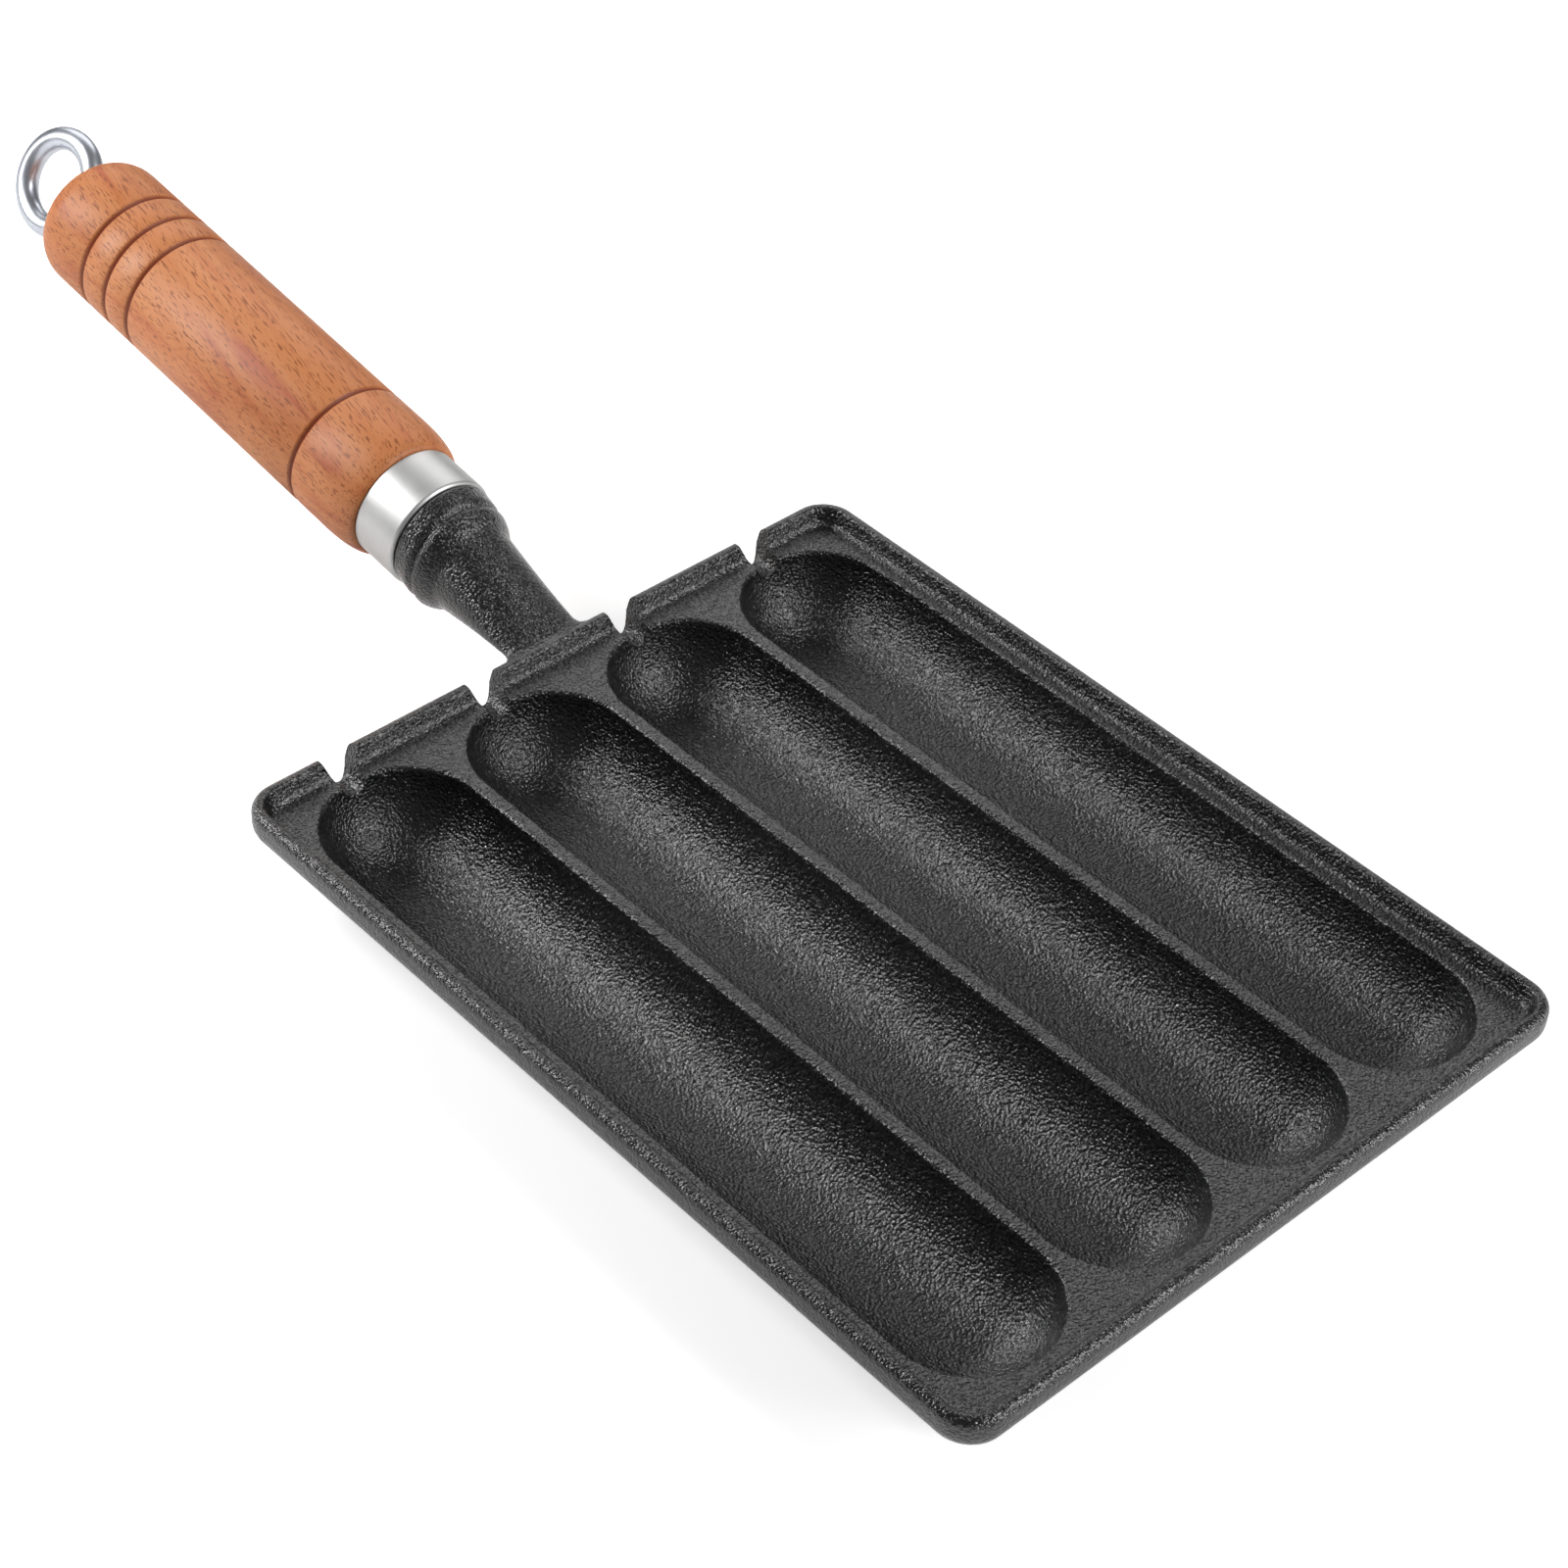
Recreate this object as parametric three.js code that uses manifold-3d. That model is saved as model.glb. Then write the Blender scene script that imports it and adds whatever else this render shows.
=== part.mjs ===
// Cast iron sausage pan: a four-trough casting with a neck and collar, a turned beech handle
// behind a steel ferrule, and a threaded eye rod that runs through the handle and pulls it
// on to the collar. Millimetres, +X from the handle to the pan's front, +Y across, +Z up.
import * as THREE from "three";
import { mergeVertices } from "three/addons/utils/BufferGeometryUtils.js";
import Module from "manifold-3d";

// Troughs: half-round channels whose axes lie at deck level
const troughCount = 4;
const troughRadius = 17;
const troughLength = 193;
const troughWall = 3.5;
const troughEdgeRadius = 0.8;
const webWidth = 3.4;

// Deck round the troughs, and the raised rim on its edge
const deckThickness = 4.4;
const deckSideMargin = 3.5; // from the outer trough to the foot of the rim
const deckEndMargin = 3.6; // from a trough's end to the foot of the rim
const rimHeight = 3.9;
const rimTopWidth = 2.8;
const rimSlopeRun = 0.6; // draft of the rim's inner face
const rimFootRadius = 1.6;
const rimEdgeRadius = 0.6;
const cornerRadius = 8;
const sharpestCorner = 0.5; // least corner radius of any line inside the outline
const lowerEdgeRadius = 4.3;
const restFlatDepth = 0.5; // what is ground off each trough's underside so that the pan stands

// Stick notches at the handle end, one on each trough's axis
const notchTopWidth = 8.6; // between its sides at the top of the rim
const notchDeckWidth = 6; // and at deck level
const notchDepth = 3.6; // its round bottom below the deck

// Handle line: where the handle's axis meets the back of the rim, and how it rises
const handleTilt = 7.3; // degrees
const handleAxisLift = 4.95; // above the deck

// Neck and collar of the casting, measured along the handle's axis from the rim
const neckLength = 25.2;
const neckRadius = 10.5; // where it meets the collar's round shoulder
const neckDrop = 1.75; // neck's centre under the handle's axis there
const neckWaist = 9.25; // half width near the rim
const neckTaper = 1.3; // how late the neck widens; 1 is straight
const neckRootFillet = 2.6;
const neckRootSink = 0.1; // neck's top under the rim's top where they meet
const neckRootDepth = 0.4; // neck's underside below the deck at the rim
const swellLength = 5.5; // round shoulder between the neck and the collar
const collarLength = 5;
const collarRadius = 12.95;
const spigotLength = 3.3; // collar's end inside the ferrule

// Ferrule: drawn steel sleeve with a rolled-in front lip
const ferruleLength = 12.2;
const ferruleRadius = 13.45;
const ferruleWall = 0.9;
const ferruleLip = 0.5; // reach of the lip inside the wall

// Handle: turned wood with burnt grooves
const handleLength = 118.1;
const handleRadius = 15.7;
const handleFrontAxial = 10; // round-over of the front end, along the axis
const handleFrontRadial = 2; // and across it
const handleEndAxial = 7.3; // round-over of the rear end, along the axis
const handleEndRadial = 6; // and across it
const grooveWidth = 1.5;
const grooveDepth = 0.8;
const frontGroove = 20.4; // from the ferrule's end
const rearGroove = 19.6; // last groove from the rear end
const rearGroovePitch = 8.6;
const rearGrooveCount = 3;

// Eye rod: plated steel wire with a closed eye and a threaded tip
const rodDiameter = 5.4;
const eyeInnerDiameter = 15.4;
const eyeTurn = 34; // degrees from the upright plane, about the handle's axis
const eyeSink = 1.2; // how far the eye is pulled into the countersunk end of the handle
const threadEngagement = 12;
const threadRunout = 1.5; // free depth of the tapped hole past the rod's tip
const rodTipChamfer = 0.7;

// Clearances between touching pieces
const fitGap = 0.3;
const rodBoreGap = 0.4; // round the rod in the wooden handle

// Facets
const troughSides = 32;
const troughEndRings = 8;
const cornerSteps = 8;
const roundSteps = 4;
const neckSides = 32;
const turnedSides = 40;
const eyeSides = 14;
const eyeSteps = 44;
const weldDistance = 1e-4;

// Derived places
const troughPitch = 2 * troughRadius + webWidth;
const troughStraight = troughLength - 2 * troughRadius;
const troughMiddle = (troughCount - 1) / 2;
const troughLines = Array.from({ length: troughCount }, (_, i) => (i - troughMiddle) * troughPitch);
const rimFootInset = rimTopWidth + rimSlopeRun;
const panHalfLength = troughLength / 2 + deckEndMargin + rimFootInset;
const panHalfWidth = troughLines.at(-1) + troughRadius + deckSideMargin + rimFootInset;
const troughFloor = -(troughRadius + troughWall - restFlatDepth);

const shoulderAt = neckLength + swellLength + collarLength;
const spigotEnd = shoulderAt + spigotLength;
const ferruleFront = shoulderAt + fitGap;
const ferruleBack = ferruleFront + ferruleLength;
const ferruleInner = ferruleRadius - ferruleWall;
const spigotRadius = ferruleInner - ferruleLip - fitGap;
const handleFront = ferruleBack + fitGap;
const handleBack = handleFront + handleLength;
const tenonFront = spigotEnd + fitGap;
const tenonRadius = ferruleInner - fitGap;
const rodRadius = rodDiameter / 2;
const rodTip = spigotEnd - threadEngagement;
const eyeRadius = eyeInnerDiameter / 2 + rodRadius;
const eyeOuter = eyeRadius + rodRadius;
const eyeCentre = handleBack - eyeSink + eyeOuter;
const eyeSeatRadius = Math.sqrt(eyeOuter ** 2 - (eyeOuter - eyeSink) ** 2) + 2 * fitGap;

const degrees = Math.PI / 180;
const quarter = Math.PI / 2;
const wasm = await Module();
wasm.setup();

// The handle's frame: local Y runs back along its axis, local X points up
const tilt = handleTilt * degrees;
const handleFrame = new THREE.Matrix4()
  .makeBasis(
    new THREE.Vector3(Math.sin(tilt), 0, Math.cos(tilt)),
    new THREE.Vector3(-Math.cos(tilt), 0, Math.sin(tilt)),
    new THREE.Vector3(0, -1, 0),
  )
  .setPosition(-panHalfLength, 0, handleAxisLift);

// Vertices and triangles of a closed geometry as a solid that faces out
function solidOf(geometry) {
  const bare = new THREE.BufferGeometry();
  bare.setAttribute("position", geometry.getAttribute("position"));
  bare.setIndex(geometry.getIndex());
  const welded = mergeVertices(bare, weldDistance);
  const corners = welded.getIndex().array;
  const triangles = [];
  for (let i = 0; i < corners.length; i += 3) {
    const [a, b, c] = corners.slice(i, i + 3);
    if (a !== b && b !== c && c !== a) triangles.push([a, b, c]);
  }
  const vertProperties = welded.getAttribute("position").array;
  const make = (list) =>
    new wasm.Manifold(new wasm.Mesh({ numProp: 3, vertProperties, triVerts: new Uint32Array(list.flat()) }));
  const solid = make(triangles);
  return solid.volume() > 0 ? solid : make(triangles.map(([a, b, c]) => [a, c, b]));
}

function meshOf(name, solid, look) {
  const { vertProperties, triVerts } = solid.getMesh();
  const geometry = new THREE.BufferGeometry();
  geometry.setAttribute("position", new THREE.BufferAttribute(vertProperties, 3));
  geometry.setIndex(new THREE.BufferAttribute(triVerts, 1));
  geometry.computeVertexNormals();
  const mesh = new THREE.Mesh(geometry, new THREE.MeshStandardMaterial(look));
  mesh.name = name;
  return mesh;
}

// A closed skin over rings with equal numbers of points, each end closed by a fan
function loftGeometry(rings) {
  const count = rings[0].length;
  const points = rings.flat();
  const index = [];
  for (let r = 0; r + 1 < rings.length; r++) {
    for (let i = 0; i < count; i++) {
      const a = r * count + i;
      const b = r * count + ((i + 1) % count);
      index.push(a, b, a + count, b, b + count, a + count);
    }
  }
  for (const [start, flip] of [[0, true], [points.length - count, false]]) {
    const ring = points.slice(start, start + count);
    const middle = ring.reduce((sum, p) => sum.add(p), new THREE.Vector3()).divideScalar(count);
    const hub = points.push(middle) - 1;
    for (let i = 0; i < count; i++) {
      const a = start + i;
      const b = start + ((i + 1) % count);
      index.push(hub, flip ? b : a, flip ? a : b);
    }
  }
  return new THREE.BufferGeometry().setFromPoints(points).setIndex(index);
}

// Points of an arc about (x, y) from one angle to another
function arcPoints(x, y, radius, from, to, steps) {
  return Array.from({ length: steps + 1 }, (_, i) => {
    const angle = from + ((to - from) * i) / steps;
    return new THREE.Vector2(x + radius * Math.cos(angle), y + radius * Math.sin(angle));
  });
}

// A rectangle with round corners at one height, drawn in from the pan's outline
function panRing(inset, z) {
  const radius = Math.max(cornerRadius - inset, sharpestCorner);
  const x = panHalfLength - inset - radius;
  const y = panHalfWidth - inset - radius;
  const corners = [[x, y], [-x, y], [-x, -y], [x, -y]];
  return corners.flatMap(([cx, cy], i) => {
    const from = i * quarter;
    const arc = arcPoints(cx, cy, radius, from, from + quarter, cornerSteps);
    return arc.map((p) => new THREE.Vector3(p.x, p.y, z));
  });
}

// A slot outline with round ends at one height, centred on the trough's axis
function slotRing(radius, z) {
  const half = troughStraight / 2;
  const front = arcPoints(half, 0, radius, -quarter, quarter, troughSides / 2);
  const back = arcPoints(-half, 0, radius, quarter, 3 * quarter, troughSides / 2);
  return [...front, ...back].map((p) => new THREE.Vector3(p.x, p.y, z));
}

// Deck with its rounded lower edge, and the rim round it
function traySolid() {
  const lowerCentre = lowerEdgeRadius - deckThickness;
  const upperCentre = rimHeight - rimEdgeRadius;
  const lower = arcPoints(lowerEdgeRadius, lowerCentre, lowerEdgeRadius, -quarter, -2 * quarter, roundSteps);
  const upper = arcPoints(rimEdgeRadius, upperCentre, rimEdgeRadius, 2 * quarter, quarter, roundSteps / 2);
  const body = solidOf(loftGeometry([...lower, ...upper].map((p) => panRing(p.x, p.y))));

  const slope = rimSlopeRun / rimHeight;
  const footCentre = rimFootInset + rimFootRadius;
  const foot = arcPoints(footCentre, rimFootRadius, rimFootRadius, -quarter, -2 * quarter, roundSteps / 2);
  const recess = foot.map((p) => panRing(p.x - slope * p.y, p.y));
  const brow = arcPoints(rimTopWidth - rimEdgeRadius, upperCentre, rimEdgeRadius, 0, quarter, roundSteps / 2);
  recess.push(...brow.map((p) => panRing(p.x, p.y)));
  recess.push(panRing(rimTopWidth - rimEdgeRadius, 2 * rimHeight));
  return body.subtract(solidOf(loftGeometry(recess)));
}

// The rounded underside of one trough, up to the middle of the deck
function troughShell(y) {
  const radius = troughRadius + troughWall;
  const capsule = new THREE.CapsuleGeometry(radius, troughStraight, troughEndRings, troughSides);
  capsule.rotateZ(quarter).translate(0, y, 0);
  const top = -deckThickness / 2;
  const slab = new THREE.BoxGeometry(4 * panHalfLength, 4 * radius, top - troughFloor);
  slab.translate(0, y, (top + troughFloor) / 2);
  return solidOf(capsule).intersect(solidOf(slab));
}

// The hollow of one trough with its rounded upper edge
function troughHollow(y) {
  const capsule = new THREE.CapsuleGeometry(troughRadius, troughStraight, troughEndRings, troughSides);
  capsule.rotateZ(quarter);
  const outer = troughRadius + troughEdgeRadius;
  const edge = arcPoints(outer, -troughEdgeRadius, troughEdgeRadius, 2 * quarter, quarter, roundSteps);
  const rings = edge.map((p) => slotRing(p.x, p.y));
  rings.push(slotRing(outer, rimHeight));
  return solidOf(capsule).add(solidOf(loftGeometry(rings))).translate([0, y, 0]);
}

// A round-bottomed notch with spreading sides, through the back rim into one trough
function notchCut(y) {
  const half = notchDeckWidth / 2;
  const top = 2 * rimHeight;
  const spread = half + ((notchTopWidth / 2 - half) * top) / rimHeight;
  const outline = new THREE.Shape();
  outline.moveTo(-spread, top);
  outline.lineTo(-half, 0);
  outline.absellipse(0, 0, half, notchDepth, Math.PI, 2 * Math.PI, false);
  outline.lineTo(spread, top);
  outline.closePath();
  const length = panHalfLength - troughStraight / 2;
  const sweep = { depth: length, bevelEnabled: false, curveSegments: 2 * roundSteps };
  const cut = new THREE.ExtrudeGeometry(outline, sweep);
  const along = new THREE.Matrix4().makeBasis(
    new THREE.Vector3(0, 1, 0),
    new THREE.Vector3(0, 0, 1),
    new THREE.Vector3(1, 0, 0),
  );
  return solidOf(cut.applyMatrix4(along).translate(-panHalfLength - rimTopWidth, y, 0));
}

const mix = (a, b, t) => a + (b - a) * t;

// One section of the neck in the handle's frame: an ellipse square to the axis
function neckRing(along, up, halfWidth, halfHeight) {
  return Array.from({ length: neckSides }, (_, i) => {
    const angle = (2 * Math.PI * i) / neckSides;
    return new THREE.Vector3(up + halfHeight * Math.sin(angle), along, -halfWidth * Math.cos(angle));
  });
}

// Neck that widens out of the rim, the collar with its round shoulder, and the spigot in the ferrule
function neckSolid() {
  const rootTop = rimHeight - neckRootSink - handleAxisLift;
  const rootBottom = -neckRootDepth - handleAxisLift;
  const rootWidth = neckWaist + neckRootFillet;
  const section = (along, top, bottom, halfWidth) =>
    neckRing(along, (top + bottom) / 2, halfWidth, (top - bottom) / 2);
  const rings = [section(-rimTopWidth / 2, rootTop, rootBottom, rootWidth)];
  const neckSteps = 3 * roundSteps;
  for (let i = 0; i < neckSteps; i++) {
    const t = (i / neckSteps) ** 1.5; // sections lie closer together at the rim
    const along = t * neckLength;
    const top = mix(rootTop, neckRadius - neckDrop, t);
    const bottom = mix(rootBottom, -neckRadius - neckDrop, t);
    const reach = Math.max(0, neckRootFillet - along);
    const flare = neckRootFillet - Math.sqrt(neckRootFillet ** 2 - reach ** 2);
    rings.push(section(along, top, bottom, mix(neckWaist, neckRadius, t ** neckTaper) + flare));
  }
  const swellSteps = 2 * roundSteps;
  for (let i = 0; i <= swellSteps; i++) {
    const t = i / swellSteps;
    const along = t * swellLength;
    const radius = mix(neckRadius, collarRadius, 1 - (1 - t) ** 2);
    const centre = -neckDrop * (1 - (along / (swellLength + collarLength)) ** 2);
    rings.push(neckRing(neckLength + along, centre, radius, radius));
  }
  rings.push(neckRing(shoulderAt, 0, collarRadius, collarRadius));
  rings.push(neckRing(shoulderAt, 0, spigotRadius, spigotRadius));
  rings.push(neckRing(spigotEnd, 0, spigotRadius, spigotRadius));
  return solidOf(loftGeometry(rings).applyMatrix4(handleFrame));
}

// The tapped hole in the collar's end, open to the handle
function rodHole() {
  const radius = rodRadius + fitGap;
  const depth = threadEngagement + threadRunout;
  const hole = new THREE.CylinderGeometry(radius, radius, depth + spigotLength, turnedSides / 2);
  hole.translate(0, spigotEnd + (spigotLength - depth) / 2, 0);
  return solidOf(hole.applyMatrix4(handleFrame));
}

function castingSolid() {
  let casting = traySolid().add(neckSolid());
  for (const y of troughLines) casting = casting.add(troughShell(y));
  for (const y of troughLines) casting = casting.subtract(troughHollow(y)).subtract(notchCut(y));
  return casting.subtract(rodHole());
}

// A solid turned about the handle's axis from a closed outline of radius and place
function turnedSolid(outline) {
  return solidOf(new THREE.LatheGeometry([...outline, outline[0]], turnedSides));
}

function ferruleSolid() {
  const roll = ferruleWall / 2;
  const lip = arcPoints(ferruleInner, ferruleFront + ferruleWall, ferruleWall, 0, -quarter, roundSteps);
  return turnedSolid([
    new THREE.Vector2(ferruleRadius, ferruleBack),
    ...lip,
    new THREE.Vector2(ferruleInner - ferruleLip, ferruleFront),
    new THREE.Vector2(ferruleInner - ferruleLip, ferruleFront + roll),
    new THREE.Vector2(ferruleInner, ferruleFront + ferruleWall),
    new THREE.Vector2(ferruleInner, ferruleBack),
  ]);
}

function handleSolid() {
  const bore = rodRadius + rodBoreGap;
  const lastGroove = handleBack - rearGroove;
  const grooves = [handleFront + frontGroove];
  for (let i = rearGrooveCount - 1; i >= 0; i--) grooves.push(lastGroove - i * rearGroovePitch);
  const outline = [new THREE.Vector2(bore, tenonFront), new THREE.Vector2(tenonRadius, tenonFront)];
  outline.push(new THREE.Vector2(tenonRadius, handleFront));
  const round = arcPoints(0, 0, 1, 0, quarter, 2 * roundSteps);
  for (const p of round.toReversed()) {
    const radius = handleRadius - handleFrontRadial * (1 - p.x);
    outline.push(new THREE.Vector2(radius, handleFront + handleFrontAxial * (1 - p.y)));
  }
  for (const at of grooves) {
    outline.push(new THREE.Vector2(handleRadius, at - grooveWidth / 2));
    outline.push(new THREE.Vector2(handleRadius - grooveDepth, at));
    outline.push(new THREE.Vector2(handleRadius, at + grooveWidth / 2));
  }
  for (const p of round) {
    const radius = handleRadius - handleEndRadial * (1 - p.x);
    outline.push(new THREE.Vector2(radius, handleBack - handleEndAxial * (1 - p.y)));
  }
  outline.push(new THREE.Vector2(eyeSeatRadius, handleBack));
  outline.push(new THREE.Vector2(bore, handleBack - eyeSink - fitGap));
  return turnedSolid(outline);
}

function eyeRodSolid() {
  const eye = new THREE.TorusGeometry(eyeRadius, rodRadius, eyeSides, eyeSteps);
  eye.rotateY(eyeTurn * degrees).translate(0, eyeCentre, 0);
  const shankEnd = eyeCentre - eyeRadius;
  const shank = new THREE.LatheGeometry(
    [
      new THREE.Vector2(0, rodTip),
      new THREE.Vector2(rodRadius - rodTipChamfer, rodTip),
      new THREE.Vector2(rodRadius, rodTip + rodTipChamfer),
      new THREE.Vector2(rodRadius, shankEnd),
      new THREE.Vector2(0, shankEnd),
    ],
    turnedSides / 2,
  );
  return solidOf(eye).add(solidOf(shank));
}

const handleLine = new THREE.Group();
handleLine.applyMatrix4(handleFrame);
handleLine.add(meshOf("ferrule", ferruleSolid(), { color: 0xd9dde2, roughness: 0.28, metalness: 1 }));
handleLine.add(meshOf("handle", handleSolid(), { color: 0xc47a4a, roughness: 0.55, metalness: 0 }));
handleLine.add(meshOf("eye_rod", eyeRodSolid(), { color: 0xc9cdd6, roughness: 0.22, metalness: 1 }));

const pan = new THREE.Group();
pan.add(meshOf("pan_casting", castingSolid(), { color: 0x36383a, roughness: 0.6, metalness: 0.4 }));
pan.add(handleLine);

// The origin is under the middle of the whole part, on the surface that it stands on
pan.updateMatrixWorld(true);
const box = new THREE.Box3().setFromObject(pan, true);
const middle = box.getCenter(new THREE.Vector3());
pan.position.set(-middle.x, -middle.y, -box.min.z);

const part = new THREE.Group();
part.add(pan);
export default part;
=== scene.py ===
import math

import bmesh
import bpy
from mathutils import Matrix, Vector


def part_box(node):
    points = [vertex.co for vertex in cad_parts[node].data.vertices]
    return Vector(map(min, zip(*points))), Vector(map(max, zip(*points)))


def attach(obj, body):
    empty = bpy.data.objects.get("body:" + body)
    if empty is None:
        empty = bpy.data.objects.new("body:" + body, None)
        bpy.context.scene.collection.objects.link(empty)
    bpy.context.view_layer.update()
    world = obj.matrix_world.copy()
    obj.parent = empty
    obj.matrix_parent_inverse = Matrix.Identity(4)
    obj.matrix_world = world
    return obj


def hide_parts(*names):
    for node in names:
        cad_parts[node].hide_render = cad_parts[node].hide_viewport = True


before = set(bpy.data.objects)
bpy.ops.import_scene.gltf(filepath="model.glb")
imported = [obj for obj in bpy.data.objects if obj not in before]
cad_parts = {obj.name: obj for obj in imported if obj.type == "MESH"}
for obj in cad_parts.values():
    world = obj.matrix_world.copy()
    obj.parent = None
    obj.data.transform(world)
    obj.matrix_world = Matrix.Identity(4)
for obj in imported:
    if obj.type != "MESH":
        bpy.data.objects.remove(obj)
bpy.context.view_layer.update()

mm = 0.001
scene = bpy.context.scene


def linear(hexColour):
    def channel(value):
        return value / 12.92 if value <= 0.04045 else ((value + 0.055) / 1.055) ** 2.4
    return tuple(channel(int(hexColour[i:i + 2], 16) / 255) for i in (1, 3, 5)) + (1.0,)


def addNode(tree, kind, settings=None, values=None, links=None):
    node = tree.nodes.new(kind)
    for name, value in (settings or {}).items():
        setattr(node, name, value)
    for name, value in (values or {}).items():
        node.inputs[name].default_value = value
    for name, source in (links or {}).items():
        tree.links.new(source, node.inputs[name])
    return node


def newMaterial(name):
    material = bpy.data.materials.new(name)
    material.use_nodes = True
    material.node_tree.nodes.clear()
    return material, material.node_tree


def setRamp(node, stops):
    ramp = node.color_ramp
    while len(ramp.elements) < len(stops):
        ramp.elements.new(0.5)
    for element, (place, colour) in zip(ramp.elements, stops):
        element.position = place
        element.color = colour


# where things are: the pan's middle at deck level, and the handle's axis
panHalf = Vector((103.5, 80.0))
panMiddle = Vector((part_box("pan_casting")[1].x - panHalf.x * mm, 0, 20.0 * mm))
handleTilt = math.radians(7.3)
handleLift = 4.95
handleRoot = panMiddle + Vector((-panHalf.x, 0, handleLift)) * mm
handleFrame = Matrix.Translation(handleRoot) @ Matrix((
    (math.sin(handleTilt), -math.cos(handleTilt), 0, 0),
    (0, 0, -1, 0),
    (math.cos(handleTilt), math.sin(handleTilt), 0, 0),
    (0, 0, 0, 1),
))  # local Y runs back along the handle, local X points up
toMetres = Matrix.Diagonal((mm, mm, mm, 1))


def placeIn(bm, matrix):
    # from millimetres in a frame of its own to metres in the part's frame
    bmesh.ops.transform(bm, matrix=matrix @ toMetres, verts=bm.verts)
    return bm


def linkMesh(bm, name):
    mesh = bpy.data.meshes.new(name)
    bm.to_mesh(mesh)
    bm.free()
    piece = bpy.data.objects.new(name, mesh)
    scene.collection.objects.link(piece)
    return piece


def dressPiece(piece, body, material, nodes, sharpAngle):
    mesh = piece.data
    mesh.polygons.foreach_set("use_smooth", [True] * len(mesh.polygons))
    mesh.set_sharp_from_angle(angle=math.radians(sharpAngle))
    mesh.materials.clear()
    mesh.materials.append(material)
    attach(piece, body)
    if nodes:
        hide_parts(*nodes)
    print("made", piece.name, len(mesh.polygons), "faces")


def arcSteps(radius, fromDegrees, toDegrees, steps):
    # points of an arc about (0, 0), as (across, up)
    turns = [math.radians(fromDegrees + (toDegrees - fromDegrees) * i / steps) for i in range(steps + 1)]
    return [(radius * math.cos(a), radius * math.sin(a)) for a in turns]


def mix(a, b, t):
    return a + (b - a) * t


def roundedFace(bm, halfLength, halfWidth, radius, z, segments):
    # a flat face with round corners, from one square
    made = bmesh.ops.create_grid(bm, x_segments=1, y_segments=1, size=1.0)
    bmesh.ops.scale(bm, vec=(halfLength, halfWidth, 1), verts=made["verts"])
    bmesh.ops.translate(bm, vec=(0, 0, z), verts=made["verts"])
    bmesh.ops.bevel(bm, geom=made["verts"], offset=radius, offset_type="OFFSET", segments=segments,
                    profile=0.5, affect="VERTICES", material=-1, clamp_overlap=True)
    bmesh.ops.remove_doubles(bm, verts=bm.verts, dist=1e-5)
    return bm.faces[:][0]


def raiseFace(bm, face, height):
    # pulls the face up into a wall and hands back (the lower face, the upper face)
    made = bmesh.ops.extrude_face_region(bm, geom=[face])
    verts = [v for v in made["geom"] if isinstance(v, bmesh.types.BMVert)]
    upper = [f for f in made["geom"] if isinstance(f, bmesh.types.BMFace)][0]
    bmesh.ops.translate(bm, vec=(0, 0, height), verts=verts)
    bmesh.ops.recalc_face_normals(bm, faces=bm.faces)
    flat = [f for f in bm.faces if abs(f.normal.z) > 0.9]
    return min(flat, key=lambda f: f.calc_center_median().z), upper


def insetAlong(bm, face, outline):
    # insets the face step by step along an outline of (inset, height along the face's normal)
    for (a, b), (c, d) in zip(outline, outline[1:]):
        bmesh.ops.inset_region(bm, faces=[face], thickness=c - a, depth=d - b,
                               use_even_offset=True, use_boundary=True)


def cutWith(piece, tool, operation):
    # applies one exact boolean to the piece and removes the tool
    modifier = piece.modifiers.new(operation.lower(), "BOOLEAN")
    modifier.operation = operation
    modifier.solver = "EXACT"
    modifier.object = tool
    bpy.context.view_layer.update()
    evaluated = piece.evaluated_get(bpy.context.evaluated_depsgraph_get())
    mesh = bpy.data.meshes.new_from_object(evaluated)
    piece.modifiers.clear()
    old = piece.data
    piece.data = mesh
    bpy.data.meshes.remove(old)
    bpy.data.objects.remove(tool)


# the casting's tray, troughs and notches, in millimetres, and where the round walls start and end in degrees
castingSizes = {
    "troughLines": (-56.1, -18.7, 18.7, 56.1),
    "troughRadius": 17.0,
    "troughStraight": 159.0,
    "troughEdge": 0.8,
    "troughOuter": 20.5,
    "troughFloor": 20.0,
    "shellStart": 4.0,
    "shellOverlap": 0.8,
    "hollowEnd": 88.5,
    "deckThickness": 4.4,
    "rimHeight": 3.9,
    "rimTop": 2.8,
    "rimSlope": 0.6,
    "rimFoot": 2.0,
    "rimOuterEdge": 1.8,
    "rimInnerEdge": 0.8,
    "corner": 8.0,
    "lowerEdge": 4.3,
    "notchTop": 4.3,
    "notchDeck": 3.0,
    "notchDepth": 3.6,
    "notchOverrun": 2.0,
    "notchReach": 5.0,
    "roundSteps": 6,
    "cornerSteps": 14,
    "troughSteps": 24,
}


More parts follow.
